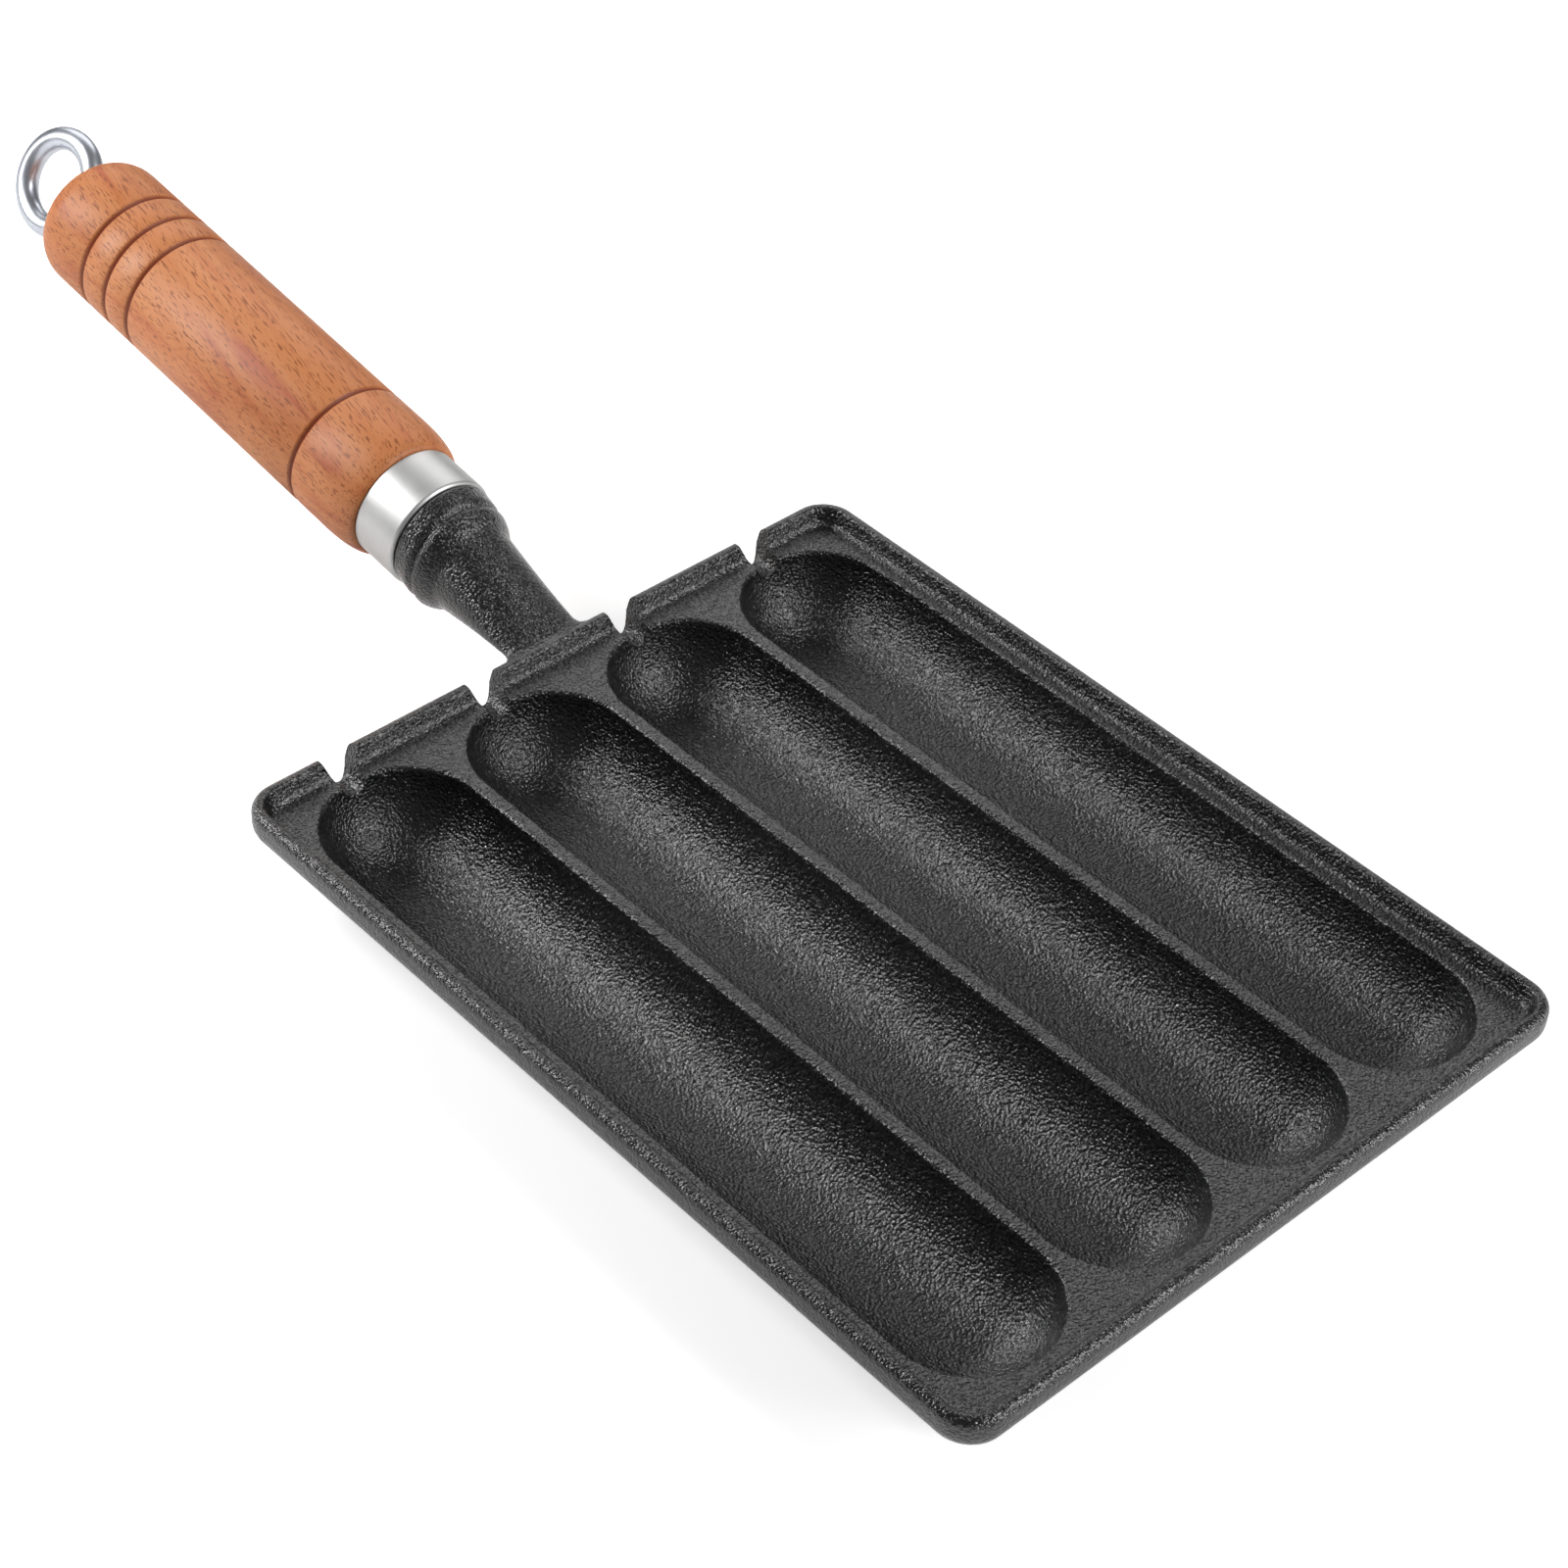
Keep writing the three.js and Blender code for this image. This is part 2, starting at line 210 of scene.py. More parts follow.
def trayPiece(sizes):
    s = sizes
    bm = bmesh.new()
    start = s["lowerEdge"] - s["deckThickness"]
    face = roundedFace(bm, panHalf.x, panHalf.y, s["corner"], start, s["cornerSteps"])
    outer, inner = s["rimOuterEdge"], s["rimInnerEdge"]
    lower, upper = raiseFace(bm, face, s["rimHeight"] - outer - start)
    top = [(outer - x, y) for x, y in arcSteps(outer, 0, 90, 6)]
    brow = [(s["rimTop"] - inner + x, outer - inner + y) for x, y in arcSteps(inner, 90, 10, 5)]
    fillet = s["rimFoot"]
    foot = s["rimTop"] + s["rimSlope"] + fillet
    drop = outer - s["rimHeight"] + fillet
    sweep = [(foot + x, drop + y) for x, y in arcSteps(fillet, 190, 270, 6)]
    insetAlong(bm, upper, top + brow + sweep)
    under = s["lowerEdge"]
    insetAlong(bm, lower, [(under - x, y) for x, y in arcSteps(under, 0, 90, s["roundSteps"])])
    bmesh.ops.recalc_face_normals(bm, faces=bm.faces)
    return bm


def slotSolid(bm, halfWidth, straight, z, height, outline, corners):
    # a stadium pulled up by height, its lower face inset along the outline
    part = bmesh.new()
    face = roundedFace(part, straight / 2 + halfWidth, halfWidth, halfWidth, z, corners)
    lower = raiseFace(part, face, height)[0]
    insetAlong(part, lower, outline)
    bmesh.ops.recalc_face_normals(part, faces=part.faces)
    mesh = bpy.data.meshes.new("slot")
    part.to_mesh(mesh)
    part.free()
    bm.from_mesh(mesh)
    bpy.data.meshes.remove(mesh)


def shellTools(sizes, lines):
    # the rounded undersides of the troughs, cut flat where the pan stands
    radius = sizes["troughOuter"]
    first = sizes["shellStart"]
    last = math.degrees(math.asin(sizes["troughFloor"] / radius))
    start = -radius * math.sin(math.radians(first))
    arc = arcSteps(radius, first, last, sizes["troughSteps"])
    outline = [(arc[0][0] - x, h + start) for x, h in arc]
    bm = bmesh.new()
    for y in lines:
        before = set(bm.verts)
        slotSolid(bm, arc[0][0], sizes["troughStraight"], start, sizes["shellOverlap"], outline,
                  sizes["troughSteps"])
        bmesh.ops.translate(bm, vec=(0, y, 0), verts=[v for v in bm.verts if v not in before])
    return bm


def hollowTools(sizes):
    # the half-round hollows with their rounded upper edges
    radius = sizes["troughRadius"]
    edge = sizes["troughEdge"]
    lip = [(x, edge - h) for x, h in arcSteps(edge, 90, 10, 4)]
    first = math.degrees(math.asin(edge / radius))
    curve = arcSteps(radius, first, sizes["hollowEnd"], sizes["troughSteps"])
    bowl = [(radius + edge - x, h) for x, h in curve]
    bm = bmesh.new()
    for y in sizes["troughLines"]:
        before = set(bm.verts)
        slotSolid(bm, radius + edge, sizes["troughStraight"], 0, 2 * sizes["rimHeight"], lip + bowl,
                  sizes["troughSteps"])
        bmesh.ops.translate(bm, vec=(0, y, 0), verts=[v for v in bm.verts if v not in before])
    return bm


def notchTools(sizes):
    # round-bottomed notches with spreading sides
    s = sizes
    top = 2 * s["rimHeight"]
    half = s["notchDeck"]
    spread = half + (s["notchTop"] - half) * top / s["rimHeight"]
    back = -panHalf.x - s["notchOverrun"]
    front = -s["troughStraight"] / 2 - s["notchReach"]
    bm = bmesh.new()
    for y in s["troughLines"]:
        curve = [(half * a, s["notchDepth"] * b) for a, b in arcSteps(1, 180, 360, 16)]
        outline = [(-spread, top), *curve, (spread, top)]
        face = bm.faces.new([bm.verts.new((back, y + a, b)) for a, b in outline])
        made = bmesh.ops.extrude_face_region(bm, geom=[face])
        moved = [v for v in made["geom"] if isinstance(v, bmesh.types.BMVert)]
        bmesh.ops.translate(bm, vec=(front - back, 0, 0), verts=moved)
    bmesh.ops.recalc_face_normals(bm, faces=bm.faces)
    return bm


# neck and collar, measured along the handle's axis from the rim, in millimetres
neckSizes = {
    "length": 25.2,
    "radius": 10.5,
    "drop": 1.75,
    "waist": 9.25,
    "taper": 1.3,
    "rootFillet": 2.6,
    "rootSink": 0.1,
    "rootDepth": 0.4,
    "rootOverlap": 1.4,
    "swell": 5.5,
    "collarLength": 5.0,
    "collarRadius": 12.95,
    "collarEdge": 0.5,
    "creaseAt": 30.6,
    "creaseWidth": 3.2,
    "creaseDepth": 0.9,
    "spigotLength": 3.3,
    "spigotRadius": 11.75,
    "holeRadius": 3.0,
    "holeDepth": 13.5,
    "neckSteps": 24,
    "swellSteps": 14,
    "collarSteps": 16,
    "sides": 64,
}


def neckStations(sizes, rimHeight):
    # (place along the axis, top, bottom, half width) of the oval sections
    n = sizes
    rootTop = rimHeight - n["rootSink"] - handleLift
    rootBottom = -n["rootDepth"] - handleLift
    fillet = n["rootFillet"]
    stations = [(-n["rootOverlap"], rootTop, rootBottom, n["waist"] + fillet)]
    for i in range(n["neckSteps"]):
        # closer together at the root, where the section changes most
        t = (i / n["neckSteps"]) ** 1.5
        along = t * n["length"]
        reach = max(0, fillet - along)
        flare = fillet - math.sqrt(fillet ** 2 - reach ** 2)
        half = mix(n["waist"], n["radius"], t ** n["taper"]) + flare
        top = mix(rootTop, n["radius"] - n["drop"], t)
        stations.append((along, top, mix(rootBottom, -n["radius"] - n["drop"], t), half))
    for i in range(n["swellSteps"] + 1):
        t = i / n["swellSteps"]
        radius = mix(n["radius"], n["collarRadius"], 1 - (1 - t) ** 2)
        centre = -n["drop"] * (1 - (t * n["swell"] / (n["swell"] + n["collarLength"])) ** 2)
        stations.append((n["length"] + t * n["swell"], centre + radius, centre - radius, radius))
    shoulder = n["length"] + n["swell"] + n["collarLength"]
    edge = n["collarEdge"]
    along, top, bottom, half = stations[-1]
    for i in range(1, n["collarSteps"]):
        centre = mix((top + bottom) / 2, 0, i / n["collarSteps"])
        place = mix(along, shoulder - edge, i / n["collarSteps"])
        stations.append((place, centre + half, centre - half, half))
    # the crease that parts the neck's shoulder from the collar
    for i, (along, top, bottom, half) in enumerate(stations):
        away = abs(along - n["creaseAt"]) / n["creaseWidth"] * 2
        dip = n["creaseDepth"] * (1 - away) ** 2 if away < 1 else 0
        stations[i] = (along, top - dip, bottom + dip, half - dip)
    steps = [(shoulder - edge + y, n["collarRadius"] - edge + x) for x, y in arcSteps(edge, 0, 90, 4)]
    steps += [(shoulder, n["spigotRadius"]), (shoulder + n["spigotLength"], n["spigotRadius"])]
    return stations + [(along, radius, -radius, radius) for along, radius in steps]


def neckPiece(sizes, rimHeight):
    # one oval ring drawn out from station to station
    bm = bmesh.new()
    upright = Matrix.Rotation(math.radians(-90), 4, "X")
    places = []
    for along, top, bottom, half in neckStations(sizes, rimHeight):
        oval = Matrix.Diagonal(((top - bottom) / 2, 1, half, 1))
        places.append(Matrix.Translation(((top + bottom) / 2, along, 0)) @ oval @ upright)
    bmesh.ops.create_circle(bm, cap_ends=False, segments=sizes["sides"], radius=1.0, matrix=places[0])
    first = ring = bm.edges[:]
    for a, b in zip(places, places[1:]):
        made = bmesh.ops.extrude_edge_only(bm, edges=ring)
        moved = [v for v in made["geom"] if isinstance(v, bmesh.types.BMVert)]
        ring = [e for e in made["geom"] if isinstance(e, bmesh.types.BMEdge) and e.is_boundary]
        bmesh.ops.transform(bm, matrix=b @ a.inverted(), verts=moved)
    bmesh.ops.holes_fill(bm, edges=first + ring, sides=0)
    bmesh.ops.recalc_face_normals(bm, faces=bm.faces)
    return bm


def holeTool(sizes):
    end = sizes["length"] + sizes["swell"] + sizes["collarLength"] + sizes["spigotLength"]
    bm = bmesh.new()
    place = Matrix.Translation((0, end, 0)) @ Matrix.Rotation(math.radians(90), 4, "X")
    bmesh.ops.create_cone(bm, cap_ends=True, segments=32, radius1=sizes["holeRadius"],
                          radius2=sizes["holeRadius"], depth=sizes["holeDepth"] * 2, matrix=place)
    return bm


def turnedPiece(name, outline, steps):
    # spins an outline of (radius, place along the handle) about the handle's axis
    bm = bmesh.new()
    verts = [bm.verts.new((r, s, 0)) for r, s in outline]
    edges = [bm.edges.new(pair) for pair in zip(verts, verts[1:])]
    if outline[0][0] > 0:
        edges.append(bm.edges.new((verts[-1], verts[0])))
    bmesh.ops.spin(bm, geom=verts + edges, cent=(0, 0, 0), axis=(0, 1, 0), angle=math.tau, steps=steps,
                   use_merge=True)
    bmesh.ops.remove_doubles(bm, verts=bm.verts, dist=1e-4)
    bmesh.ops.recalc_face_normals(bm, faces=bm.faces)
    return linkMesh(placeIn(bm, handleFrame), name)


# sand-cast grey iron, seasoned: a near-black skin of packed sand grain, on which a thin film of baked oil
# sparkles under a lamp. The grain is drawn as coarse as it needs to be to show in the render
# the pit and crest colours are painted shade in the grain's pits and a painted sheen on its crests, over the
# skin's own near-black
ironLook = {"pitShade": "#1c1c1c", "skin": "#2b2b2b", "crestSheen": "#383838", "roughness": 0.36, "pebbleMm": 0.62,
            "gritMm": 0.42, "mottleMm": 14.0, "reliefMm": 0.2, "wallReliefMm": 0.28, "oilRoughness": 0.1,
            "oilIndex": 1.6}


def ironMaterial(look):
    material, tree = newMaterial("seasonedCastIron")
    coordinates = addNode(tree, "ShaderNodeTexCoord")
    place = coordinates.outputs["Object"]
    pebble = addNode(tree, "ShaderNodeTexVoronoi", settings={"feature": "SMOOTH_F1"},
                     values={"Scale": 1000 / look["pebbleMm"], "Smoothness": 0.6}, links={"Vector": place})
    grit = addNode(tree, "ShaderNodeTexNoise", values={"Scale": 1000 / look["gritMm"], "Detail": 2.0},
                   links={"Vector": place})
    height = addNode(tree, "ShaderNodeMath", settings={"operation": "SUBTRACT"},
                     links={0: grit.outputs["Fac"], 1: pebble.outputs["Distance"]})
    # colour follows the grain's height: painted shade in the pits, a painted sheen on the crests
    colour = addNode(tree, "ShaderNodeValToRGB", links={"Fac": height.outputs["Value"]})
    setRamp(colour, [(0.0, linear(look["pitShade"])), (0.14, linear(look["skin"])), (0.34, linear(look["crestSheen"]))])
    mottle = addNode(tree, "ShaderNodeTexNoise", values={"Scale": 1000 / look["mottleMm"], "Detail": 4.0},
                     links={"Vector": place})
    rough = addNode(tree, "ShaderNodeMapRange",
                    values={"From Min": 0.3, "From Max": 0.7, "To Min": look["roughness"],
                            "To Max": look["roughness"] + 0.03},
                    links={"Value": mottle.outputs["Fac"]})
    # upright walls come rougher out of the sand than level ones
    facing = addNode(tree, "ShaderNodeSeparateXYZ", links={"Vector": coordinates.outputs["Normal"]})
    relief = addNode(tree, "ShaderNodeMapRange",
                     values={"From Min": 0.2, "From Max": 0.55, "To Min": look["wallReliefMm"] * mm,
                             "To Max": look["reliefMm"] * mm},
                     links={"Value": facing.outputs["Z"]})
    bump = addNode(tree, "ShaderNodeBump", values={"Strength": 1.0},
                   links={"Height": height.outputs["Value"], "Distance": relief.outputs["Result"]})
    shader = addNode(tree, "ShaderNodeBsdfPrincipled",
                     values={"Metallic": 1.0, "Coat Weight": 1.0, "Coat Roughness": look["oilRoughness"],
                             "Coat IOR": look["oilIndex"]},
                     links={"Base Color": colour.outputs["Color"], "Roughness": rough.outputs["Result"],
                            "Normal": bump.outputs["Normal"], "Coat Normal": bump.outputs["Normal"]})
    addNode(tree, "ShaderNodeOutputMaterial", links={"Surface": shader.outputs["BSDF"]})
    return material


# turned beech, oiled: warm orange brown with short dark flecks along the grain and burnt lines
beechLook = {"pale": "#cd8654", "mid": "#c27542", "red": "#b35c34", "dark": "#84401a", "burnt": "#8f4423",
             "fleckMm": (0.15, 1.6), "bandMm": 5.0, "grainTurn": -9.0, "reliefMm": 0.1,
             "burnCoreMm": 0.35, "burnReachMm": 0.8}


def nearPlaces(tree, coordinate, places, core, reach):
    # 1 at the listed places along the handle, fading to 0 at the reach
    found = None
    for at in places:
        gap = addNode(tree, "ShaderNodeMath", settings={"operation": "SUBTRACT"}, values={1: at * mm},
                      links={0: coordinate})
        size = addNode(tree, "ShaderNodeMath", settings={"operation": "ABSOLUTE"},
                       links={0: gap.outputs["Value"]})
        near = addNode(tree, "ShaderNodeMapRange", settings={"interpolation_type": "SMOOTHSTEP"},
                       values={"From Min": core * mm, "From Max": reach * mm, "To Min": 1.0, "To Max": 0.0},
                       links={"Value": size.outputs["Value"]}).outputs["Result"]
        if found is None:
            found = near
        else:
            found = addNode(tree, "ShaderNodeMath", settings={"operation": "MAXIMUM"},
                            links={0: found, 1: near}).outputs["Value"]
    return found


def beechMaterial(look, grooves):
    material, tree = newMaterial("turnedBeech")
    place = addNode(tree, "ShaderNodeTexCoord").outputs["Object"]
    local = addNode(tree, "ShaderNodeMapping", settings={"vector_type": "TEXTURE"},
                    values={"Location": handleFrame.translation, "Rotation": handleFrame.to_euler()},
                    links={"Vector": place}).outputs["Vector"]
    grain = addNode(tree, "ShaderNodeMapping", settings={"vector_type": "TEXTURE"},
                    values={"Rotation": (math.radians(look["grainTurn"]), 0, 0)},
                    links={"Vector": local}).outputs["Vector"]
    across, along = look["fleckMm"]
    stretch = addNode(tree, "ShaderNodeMapping", values={"Scale": (1.0, across / along, 1.0)},
                      links={"Vector": grain})
    fleck = addNode(tree, "ShaderNodeTexNoise", values={"Scale": 1000 / (across * 2.2), "Detail": 1.0},
                    links={"Vector": stretch.outputs["Vector"]})
    bands = addNode(tree, "ShaderNodeMapping", values={"Scale": (1.0, 0.07, 1.0)}, links={"Vector": grain})
    ring = addNode(tree, "ShaderNodeTexNoise",
                   values={"Scale": 1000 / look["bandMm"], "Detail": 3.0, "Distortion": 0.6},
                   links={"Vector": bands.outputs["Vector"]})
    tone = addNode(tree, "ShaderNodeValToRGB", links={"Fac": ring.outputs["Fac"]})
    setRamp(tone, [(0.28, linear(look["red"])), (0.42, linear(look["mid"])), (0.66, linear(look["pale"]))])
    fleckMask = addNode(tree, "ShaderNodeMapRange",
                        values={"From Min": 0.58, "From Max": 0.65, "To Max": 0.8},
                        links={"Value": fleck.outputs["Fac"]})
    flecked = addNode(tree, "ShaderNodeMix", settings={"data_type": "RGBA"},
                      values={"B": linear(look["dark"])},
                      links={"Factor": fleckMask.outputs["Result"], "A": tone.outputs["Color"]})
    split = addNode(tree, "ShaderNodeSeparateXYZ", links={"Vector": local})
    burn = nearPlaces(tree, split.outputs["Y"], grooves, look["burnCoreMm"], look["burnReachMm"])
    colour = addNode(tree, "ShaderNodeMix", settings={"data_type": "RGBA"},
                     values={"B": linear(look["burnt"])},
                     links={"Factor": burn, "A": flecked.outputs["Result"]})
    bump = addNode(tree, "ShaderNodeBump",
                   values={"Strength": 0.25, "Distance": look["reliefMm"] * mm},
                   links={"Height": fleck.outputs["Fac"]})
    shader = addNode(tree, "ShaderNodeBsdfPrincipled", values={"Roughness": 0.5, "IOR": 1.5},
                     links={"Base Color": colour.outputs["Result"], "Normal": bump.outputs["Normal"]})
    addNode(tree, "ShaderNodeOutputMaterial", links={"Surface": shader.outputs["BSDF"]})
    return material


# drawn steel tube, polished: bright, with faint lines round it from the drawing and polishing
ferruleLook = {"colour": "#cacac9", "roughness": 0.46, "lineMm": 0.35}
# zinc-plated wire: grey with a cold blue cast and soft bright spots
zincLook = {"colour": "#c6cad2", "roughness": 0.34, "lineMm": 0.5}


def steelMaterial(name, look):
    material, tree = newMaterial(name)
    place = addNode(tree, "ShaderNodeTexCoord").outputs["Object"]
    local = addNode(tree, "ShaderNodeMapping", settings={"vector_type": "TEXTURE"},
                    values={"Location": handleFrame.translation, "Rotation": handleFrame.to_euler(),
                            "Scale": (1.0, 0.05, 1.0)},
                    links={"Vector": place})
    lines = addNode(tree, "ShaderNodeTexNoise",
                    values={"Scale": 1000 / (look["lineMm"] * 20), "Detail": 4.0},
                    links={"Vector": local.outputs["Vector"]})
    rough = addNode(tree, "ShaderNodeMapRange",
                    values={"From Min": 0.3, "From Max": 0.7, "To Min": look["roughness"] - 0.04,
                            "To Max": look["roughness"] + 0.05},
                    links={"Value": lines.outputs["Fac"]})
    bump = addNode(tree, "ShaderNodeBump", values={"Strength": 0.04, "Distance": 0.01 * mm},
                   links={"Height": lines.outputs["Fac"]})
    shader = addNode(tree, "ShaderNodeBsdfPrincipled",
                     values={"Base Color": linear(look["colour"]), "Metallic": 1.0},
                     links={"Roughness": rough.outputs["Result"], "Normal": bump.outputs["Normal"]})
    addNode(tree, "ShaderNodeOutputMaterial", links={"Surface": shader.outputs["BSDF"]})
    return material


# the casting: tray, neck and trough undersides joined, then the hollows, notches and hole cut
inPan = Matrix.Translation(panMiddle)
lines = castingSizes["troughLines"]
casting = linkMesh(placeIn(trayPiece(castingSizes), inPan), "castingSkin")
neck = placeIn(neckPiece(neckSizes, castingSizes["rimHeight"]), handleFrame)
cutWith(casting, linkMesh(neck, "neckTool"), "UNION")
for some in (lines[0::2], lines[1::2]):
    cutWith(casting, linkMesh(placeIn(shellTools(castingSizes, some), inPan), "shellTool"), "UNION")
cutWith(casting, linkMesh(placeIn(hollowTools(castingSizes), inPan), "hollowTool"), "DIFFERENCE")
cutWith(casting, linkMesh(placeIn(notchTools(castingSizes), inPan), "notchTool"), "DIFFERENCE")
cutWith(casting, linkMesh(placeIn(holeTool(neckSizes), handleFrame), "holeTool"), "DIFFERENCE")
dressPiece(casting, "pan", ironMaterial(ironLook), ["pan_casting"], 38)

# ferrule: drawn sleeve with a rolled-in lip
ferruleSizes = {"front": 36.0, "back": 48.2, "radius": 13.45, "wall": 0.9, "lip": 0.5,
                "lipFront": 0.1, "lipBack": 0.5, "steps": 128}
f = ferruleSizes
inner = f["radius"] - f["wall"]
roll = [(inner + x, f["front"] + f["wall"] + y) for x, y in arcSteps(f["wall"], 0, -90, 8)]
sleeve = [(f["radius"], f["back"]), *roll, (inner - f["lip"], f["front"] + f["lipFront"]),
          (inner - f["lip"], f["front"] + f["lipBack"]), (inner, f["front"] + f["wall"]), (inner, f["back"])]
ferrule = turnedPiece("ferruleSleeve", sleeve, f["steps"])
dressPiece(ferrule, "grip", steelMaterial("drawnSteel", ferruleLook), ["ferrule"], 40)

# handle: turned grip with its tenon, grooves and countersunk end
handleSizes = {"front": 48.5, "back": 166.6, "radius": 15.7, "frontAxial": 10.0, "frontRadial": 2.0,
               "endAxial": 7.3, "endRadial": 6.0, "grooves": (68.9, 129.8, 138.4, 147.0), "grooveWidth": 1.5,
               "grooveDepth": 0.8, "bore": 3.1, "tenonFront": 39.3, "tenonRadius": 12.25,
               "seatRadius": 6.1, "seatDepth": 1.5, "steps": 128}
h = handleSizes
outline = [(h["bore"], h["tenonFront"]), (h["tenonRadius"], h["tenonFront"]), (h["tenonRadius"], h["front"])]
outline += [(h["radius"] - h["frontRadial"] * (1 - x), h["front"] + h["frontAxial"] * (1 - y))
            for x, y in arcSteps(1, 90, 0, 12)]
groove = [(-1.33, 0), (-1, 0.15), (-0.3, 0.85), (0, 1), (0.3, 0.85), (1, 0.15), (1.33, 0)]
for at in h["grooves"]:
    outline += [(h["radius"] - h["grooveDepth"] * deep, at + h["grooveWidth"] / 2 * aside)
                for aside, deep in groove]
outline += [(h["radius"] - h["endRadial"] * (1 - x), h["back"] - h["endAxial"] * (1 - y))
            for x, y in arcSteps(1, 0, 90, 12)]
outline += [(h["seatRadius"], h["back"]), (h["bore"], h["back"] - h["seatDepth"])]
handle = turnedPiece("handleGrip", outline, h["steps"])
dressPiece(handle, "grip", beechMaterial(beechLook, h["grooves"]), ["handle"], 50)

# eye rod: a ring of wire on a long shank with a screw thread at its tip
eyeSizes = {"radius": 10.4, "wire": 2.7, "centre": 178.5, "turn": 34.0, "tip": 27.0, "chamfer": 0.3,
            "runOut": 0.5, "steps": 96, "sides": 32, "pitch": 1.0, "threadRoot": 2.2, "threadEnd": 40.0,
            "threadStart": 0.9, "threadShort": 1.4, "ridgeSink": 0.2, "ridgeFoot": 0.46, "ridgeCrest": 0.06,
            "threadSteps": 24}
e = eyeSizes
bm = bmesh.new()
section = Matrix.Translation((e["radius"], 0, 0)) @ Matrix.Rotation(math.radians(90), 4, "X")
bmesh.ops.create_circle(bm, segments=e["sides"], radius=e["wire"], matrix=section)
bmesh.ops.spin(bm, geom=bm.verts[:] + bm.edges[:], cent=(0, 0, 0), axis=(0, 0, 1), angle=math.tau,
               steps=e["steps"], use_merge=True)
bmesh.ops.remove_doubles(bm, verts=bm.verts, dist=1e-4)
bmesh.ops.rotate(bm, cent=(0, 0, 0), matrix=Matrix.Rotation(math.radians(e["turn"]), 3, "Y"), verts=bm.verts)
bmesh.ops.translate(bm, vec=(0, e["centre"], 0), verts=bm.verts)
bmesh.ops.recalc_face_normals(bm, faces=bm.faces)
eye = linkMesh(placeIn(bm, handleFrame), "eyeRing")
shankEnd = e["centre"] - e["radius"]
root = e["threadRoot"]
shank = [(0, e["tip"]), (root - e["chamfer"], e["tip"]), (root, e["tip"] + e["chamfer"]),
         (root, e["threadEnd"]), (e["wire"], e["threadEnd"] + e["runOut"]), (e["wire"], shankEnd),
         (0, shankEnd)]
cutWith(eye, turnedPiece("eyeShank", shank, 32), "UNION")
zinc = steelMaterial("zincPlatedSteel", zincLook)
dressPiece(eye, "eye", zinc, ["eye_rod"], 45)

# the thread: one ridge wound round the shank's tip
bm = bmesh.new()
foot = root - e["ridgeSink"]
ridge = [(foot, -e["ridgeFoot"]), (e["wire"], -e["ridgeCrest"]),
         (e["wire"], e["ridgeCrest"]), (foot, e["ridgeFoot"])]
verts = [bm.verts.new((r, e["tip"] + e["threadStart"] + s, 0)) for r, s in ridge]
start = bm.faces.new(verts)
turns = (e["threadEnd"] - e["tip"] - e["threadShort"]) / e["pitch"]
steps = round(turns * e["threadSteps"])
bmesh.ops.spin(bm, geom=[start], cent=(0, 0, 0), axis=(0, 1, 0), dvec=(0, e["pitch"] / e["threadSteps"], 0),
               angle=math.tau / e["threadSteps"] * steps, steps=steps, use_merge=False)
bmesh.ops.recalc_face_normals(bm, faces=bm.faces)
thread = linkMesh(placeIn(bm, handleFrame), "eyeThread")
dressPiece(thread, "eye", zinc, (), 30)


def seenBy(tree, camera, glossy, hidden):
    # a strength for what the camera and clear things see, one for what shines, and one for all other rays
    rays = addNode(tree, "ShaderNodeLightPath")
    shine = addNode(tree, "ShaderNodeMapRange", values={"To Min": hidden, "To Max": glossy},
                    links={"Value": rays.outputs["Is Glossy Ray"]})
    direct = addNode(tree, "ShaderNodeMath", settings={"operation": "MAXIMUM"},
                     links={0: rays.outputs["Is Camera Ray"], 1: rays.outputs["Is Transmission Ray"]})
    seen = addNode(tree, "ShaderNodeMapRange", values={"To Max": camera},
                   links={"Value": direct.outputs["Value"], "To Min": shine.outputs["Result"]})
    return seen.outputs["Result"]


# white paper floor that keeps the shadow and fades into the white background, half its width in metres
floorLook = {"paper": "#f4f4f4", "toCamera": 0.58, "toShine": 0.12, "toRest": 0.0, "half": 0.6}
floorMaterial, tree = newMaterial("whitePaperSweep")
paper = addNode(tree, "ShaderNodeBsdfDiffuse", values={"Color": linear(floorLook["paper"])})
strength = seenBy(tree, floorLook["toCamera"], floorLook["toShine"], floorLook["toRest"])
glow = addNode(tree, "ShaderNodeEmission", links={"Strength": strength})
both = addNode(tree, "ShaderNodeAddShader", links={0: paper.outputs["BSDF"], 1: glow.outputs["Emission"]})
addNode(tree, "ShaderNodeOutputMaterial", links={"Surface": both.outputs["Shader"]})
bm = bmesh.new()
bmesh.ops.create_grid(bm, x_segments=1, y_segments=1, size=floorLook["half"])
floor = linkMesh(bm, "floorSheet")
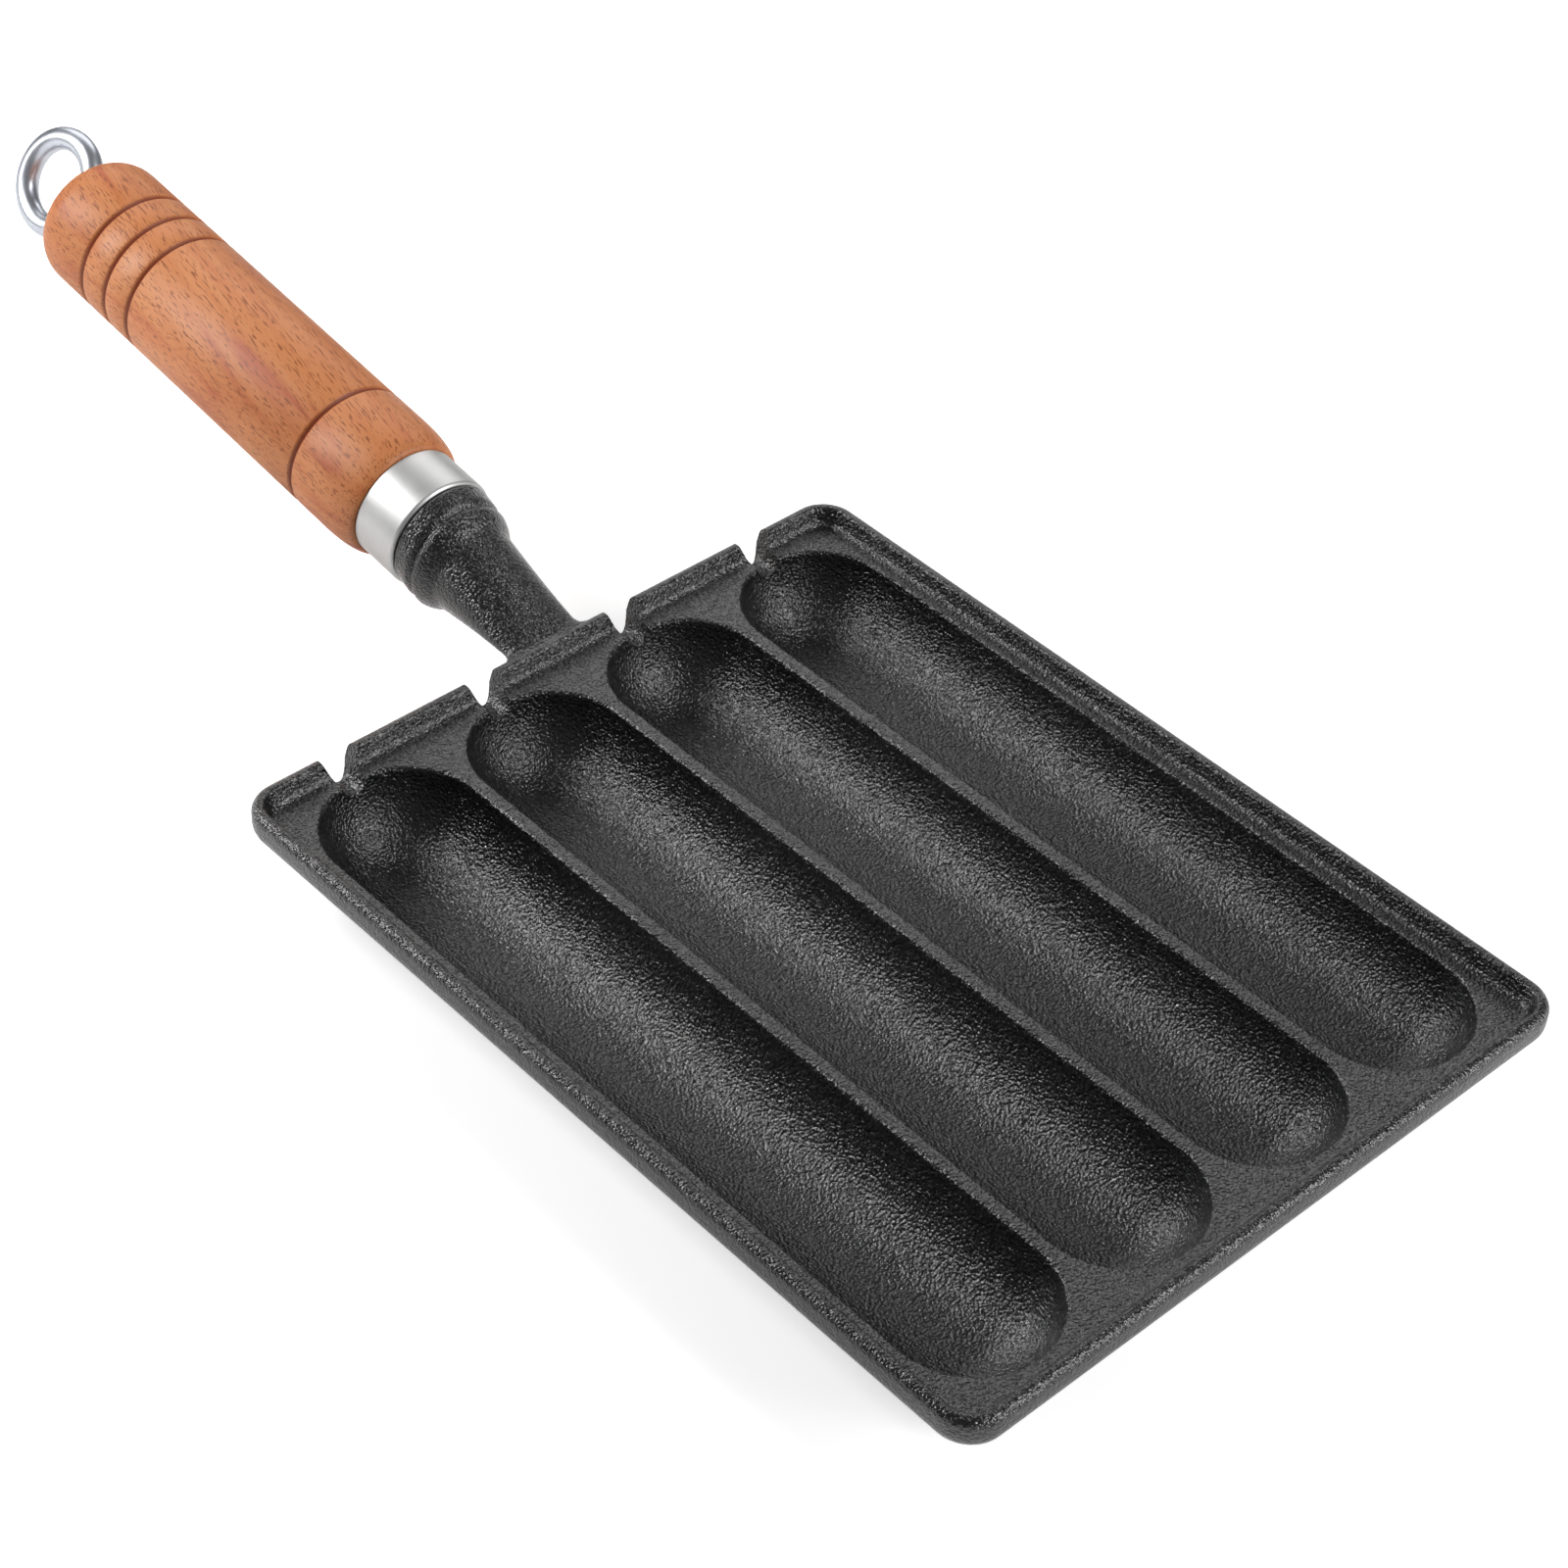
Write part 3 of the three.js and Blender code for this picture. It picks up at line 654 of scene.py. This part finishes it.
floor.data.materials.append(floorMaterial)

# soft studio light: an even white room, two tall softboxes and a broad panel behind
roomLook = {"toCamera": 1.0, "toShine": 0.18, "toRest": 0.11}
world = bpy.data.worlds.new("studioWhite")
scene.world = world
world.use_nodes = True
tree = world.node_tree
tree.nodes.clear()
strength = seenBy(tree, roomLook["toCamera"], roomLook["toShine"], roomLook["toRest"])
glow = addNode(tree, "ShaderNodeBackground", values={"Color": (1, 1, 1, 1)}, links={"Strength": strength})
addNode(tree, "ShaderNodeOutputWorld", links={"Surface": glow.outputs["Background"]})


def addLamp(name, toward, distance, size, power):
    # a rectangular lamp aimed at the pan's middle, in metres and watts
    lamp = bpy.data.lights.new(name, "AREA")
    lamp.shape = "RECTANGLE"
    lamp.size, lamp.size_y = size
    lamp.energy = power
    holder = bpy.data.objects.new(name, lamp)
    scene.collection.objects.link(holder)
    aim = Vector(toward).normalized()
    holder.location = panMiddle + aim * distance
    holder.rotation_euler = (-aim).to_track_quat("-Z", "Y").to_euler()
    holder.visible_camera = False


addLamp("leftSoftbox", toward=(-0.73, -0.45, 0.51), distance=0.7, size=(0.09, 0.38), power=2.9)
addLamp("rightSoftbox", toward=(0.78, 0.41, 0.47), distance=1.6, size=(0.28, 1.5), power=22)
addLamp("backPanel", toward=(-0.62, 0.53, 0.58), distance=1.8, size=(1.8, 1.0), power=11)

# the photograph's camera, fitted to the pan's edges
right = Vector((0.6740, 0.7374, 0.0439))
down = Vector((0.5120, -0.4234, -0.7474))
ahead = Vector((-0.5326, 0.5263, -0.6629))
fromPan = Vector((337.59, -363.80, 470.85))
lens = bpy.data.cameras.new("photoCamera")
lens.sensor_width = 36.0
lens.lens = 80.70
lens.clip_start, lens.clip_end = 0.01, 20
camera = bpy.data.objects.new("photoCamera", lens)
scene.collection.objects.link(camera)
turn = Matrix((right, -down, -ahead)).transposed().to_4x4()
camera.matrix_world = Matrix.Translation(panMiddle + fromPan * mm) @ turn
scene.camera = camera
scene.view_settings.view_transform = "Standard"
